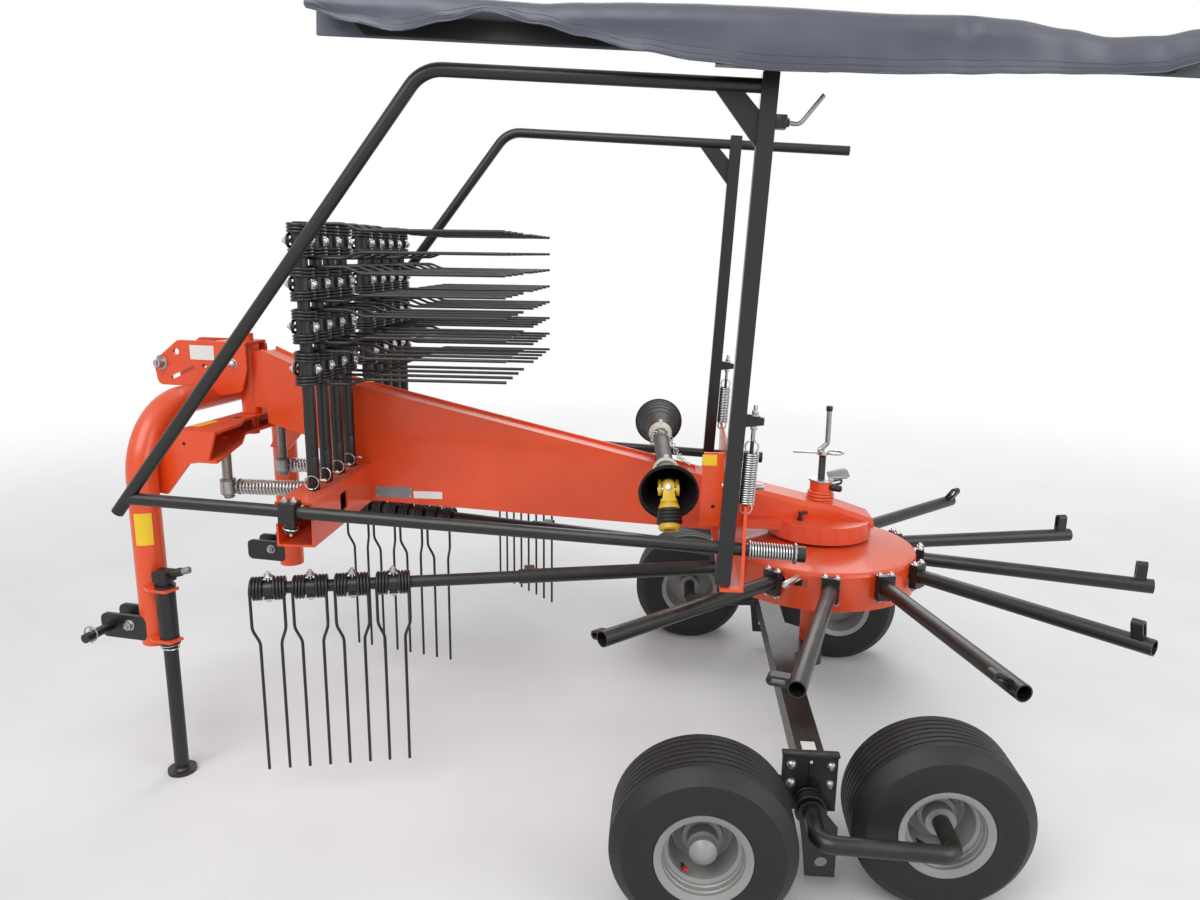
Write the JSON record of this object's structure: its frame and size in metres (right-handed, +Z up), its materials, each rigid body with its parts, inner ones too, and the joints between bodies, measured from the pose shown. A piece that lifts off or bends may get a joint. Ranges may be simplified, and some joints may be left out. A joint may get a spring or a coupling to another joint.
{
  "type": "folded rotary rake",
  "caption": "Tractor-mounted rotary hay rake, folded for transport and parked on its stand, with spare tine arms pulled out and racked, guards up and a swath curtain.",
  "frame": {"origin": "on the ground, in the middle of the machine's length and width", "axes": "+Z up, +X towards the rear of the machine, -X towards the tractor, -Y towards the rake's left side"},
  "size_m": [3.1648, 2.1898, 2.1868],
  "materials": {
    "orange": "gloss orange paint",
    "black_steel": "satin black paint",
    "tine_steel": "black painted spring wire",
    "zinc": "zinc plated",
    "bar_paint": "black paint",
    "curtain_cloth": "coated black cloth",
    "black_plastic": "black moulded guard",
    "tyre": "ribbed black rubber",
    "wheel_disc": "silver-grey paint",
    "yellow_steel": "yellow paint"
  },
  "bodies": {
    "chassis": {"main_beam": "orange", "rack_left": "orange", "rack_right": "orange", "strut_guides": "orange", "hinge_clamps": "black_steel", "rear_cross_member": "orange", "gearbox": "orange", "height_crank": "zinc", "drive_shaft": "black_plastic", "shaft_guards": "black_plastic", "shaft_yoke": "yellow_steel", "axle_beam": "black_steel", "racked_arms_left": "black_steel", "racked_arms_right": "black_steel", "racked_tines_left": "tine_steel", "racked_tines_right": "tine_steel"},
    "headstock": {"headstock_arch": "orange", "headstock_channel": "orange", "lower_link_left": "black_steel", "lower_link_right": "black_steel", "stand_holder": "orange"},
    "stand": {"parking_stand": "black_steel"},
    "strut_left": {"steering_strut_left": "zinc", "strut_spring_left": "zinc"},
    "strut_right": {"steering_strut_right": "zinc", "strut_spring_right": "zinc"},
    "guard_left": {"guard_left": "black_steel", "curtain_arm": "black_steel", "curtain_bar": "bar_paint", "curtain": "curtain_cloth"},
    "guard_right": {"guard_right": "black_steel"},
    "rotor": {"rotor_hub": "black_steel", "rotor_arms": "black_steel", "rotor_dish": "orange", "fitted_tine_arms": "black_steel", "fitted_tines": "tine_steel"},
    "bogie_left": {"bogie_left": "black_steel"},
    "bogie_right": {"bogie_right": "black_steel"},
    "wheel_front_left": {"tyre_front_left": "tyre", "rim_front_left": "wheel_disc"},
    "wheel_front_right": {"tyre_front_right": "tyre", "rim_front_right": "wheel_disc"},
    "wheel_rear_left": {"tyre_rear_left": "tyre", "rim_rear_left": "wheel_disc"},
    "wheel_rear_right": {"tyre_rear_right": "tyre", "rim_rear_right": "wheel_disc"}
  },
  "joints": [
    {"name": "rotor_spin", "type": "hinge", "parent": "chassis", "child": "rotor", "pos_m": [0.623, -0.117, 0.657], "axis": [0, 0, 1], "continuous": true},
    {"name": "headstock_steer", "type": "hinge", "parent": "chassis", "child": "headstock", "pos_m": [-1.232, -0.117, 1.076], "axis": [0, 0, 1], "range_deg": [-7, 23], "stiffness_Nm_per_rad": 350},
    {"name": "stand_slide", "type": "slide", "parent": "headstock", "child": "stand", "axis": [0, 0, 1], "range_m": [0, 0.35]},
    {"name": "strut_left_swing", "type": "hinge", "parent": "headstock", "child": "strut_left", "pos_m": [-1.25571, -0.27017, 0.862], "axis": [0, 0, 1], "range_deg": [-23, 7], "deforming": ["strut_spring_left"]},
    {"name": "strut_right_swing", "type": "hinge", "parent": "headstock", "child": "strut_right", "pos_m": [-1.20829, 0.03617, 0.862], "axis": [0, 0, 1], "range_deg": [-23, 7], "deforming": ["strut_spring_right"]},
    {"name": "guard_left_fold", "type": "hinge", "parent": "chassis", "child": "guard_left", "pos_m": [0.29, -0.69, 0.855], "axis": [0.9988, 0, -0.0488], "range_deg": [0, 90]},
    {"name": "guard_right_fold", "type": "hinge", "parent": "chassis", "child": "guard_right", "pos_m": [0.29, 0.456, 0.855], "axis": [-0.9988, 0, 0.0488], "range_deg": [0, 90]},
    {"name": "bogie_left_rock", "type": "hinge", "parent": "chassis", "child": "bogie_left", "pos_m": [0.518, -0.825, 0.235], "axis": [0, 1, 0], "range_deg": [-12, 12]},
    {"name": "bogie_right_rock", "type": "hinge", "parent": "chassis", "child": "bogie_right", "pos_m": [0.518, 0.591, 0.235], "axis": [0, 1, 0], "range_deg": [-12, 12]},
    {"name": "wheel_front_left_spin", "type": "hinge", "parent": "bogie_left", "child": "wheel_front_left", "pos_m": [0.243, -0.987, 0.225], "axis": [0, 1, 0], "continuous": true},
    {"name": "wheel_front_right_spin", "type": "hinge", "parent": "bogie_right", "child": "wheel_front_right", "pos_m": [0.243, 0.753, 0.225], "axis": [0, 1, 0], "continuous": true},
    {"name": "wheel_rear_left_spin", "type": "hinge", "parent": "bogie_left", "child": "wheel_rear_left", "pos_m": [0.838, -0.838, 0.225], "axis": [0, 1, 0], "continuous": true},
    {"name": "wheel_rear_right_spin", "type": "hinge", "parent": "bogie_right", "child": "wheel_rear_right", "pos_m": [0.838, 0.604, 0.225], "axis": [0, 1, 0], "continuous": true}
  ],
  "couplings": [
    {"joint": "strut_left_swing", "follows": "headstock_steer", "ratio": -1},
    {"joint": "strut_right_swing", "follows": "headstock_steer", "ratio": -1}
  ]
}
